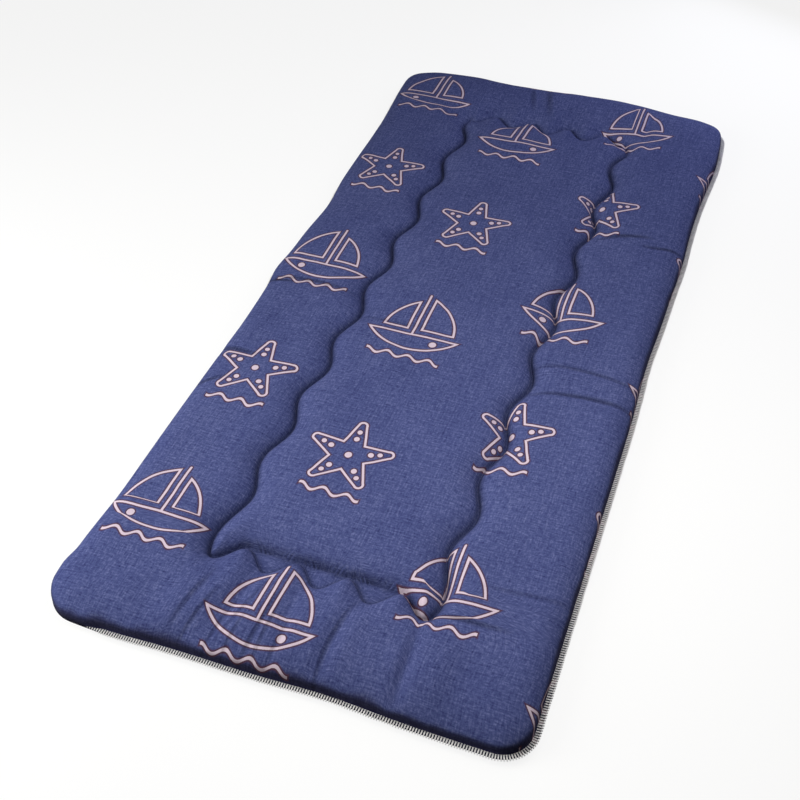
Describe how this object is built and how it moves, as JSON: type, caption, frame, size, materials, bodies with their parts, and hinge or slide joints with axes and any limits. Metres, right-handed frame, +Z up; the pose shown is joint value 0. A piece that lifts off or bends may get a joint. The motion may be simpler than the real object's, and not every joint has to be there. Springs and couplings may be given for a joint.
{
  "type": "futon mattress",
  "caption": "Flat quilted floor mattress with a printed navy cover, wavy through-stitched seams and an overlocked edge.",
  "frame": {"origin": "middle of the underside, on the surface that the mattress lies on", "axes": "+X across the width to the right as seen from the foot end, +Y along the length from the foot end to the head end, +Z up through the thickness"},
  "size_m": [0.9, 2, 0.055],
  "materials": {
    "printed_cover": "matte",
    "plain_cover": "matte",
    "soft_wadding": "matte",
    "firm_wadding": "matte",
    "navy_thread": "satin",
    "white_thread": "satin"
  },
  "bodies": {
    "root": {"top_cover": "printed_cover", "base_cover": "plain_cover", "top_batt": "soft_wadding", "core_batt": "firm_wadding", "base_batt": "soft_wadding", "left_quilting_needle_thread": "navy_thread", "right_quilting_needle_thread": "navy_thread", "head_quilting_needle_thread": "navy_thread", "foot_quilting_needle_thread": "navy_thread", "left_quilting_bobbin_thread": "navy_thread", "right_quilting_bobbin_thread": "navy_thread", "head_quilting_bobbin_thread": "navy_thread", "foot_quilting_bobbin_thread": "navy_thread", "overlock_needle_thread": "white_thread", "overlock_upper_looper_thread": "white_thread", "overlock_lower_looper_thread": "white_thread"}
  },
  "joints": []
}
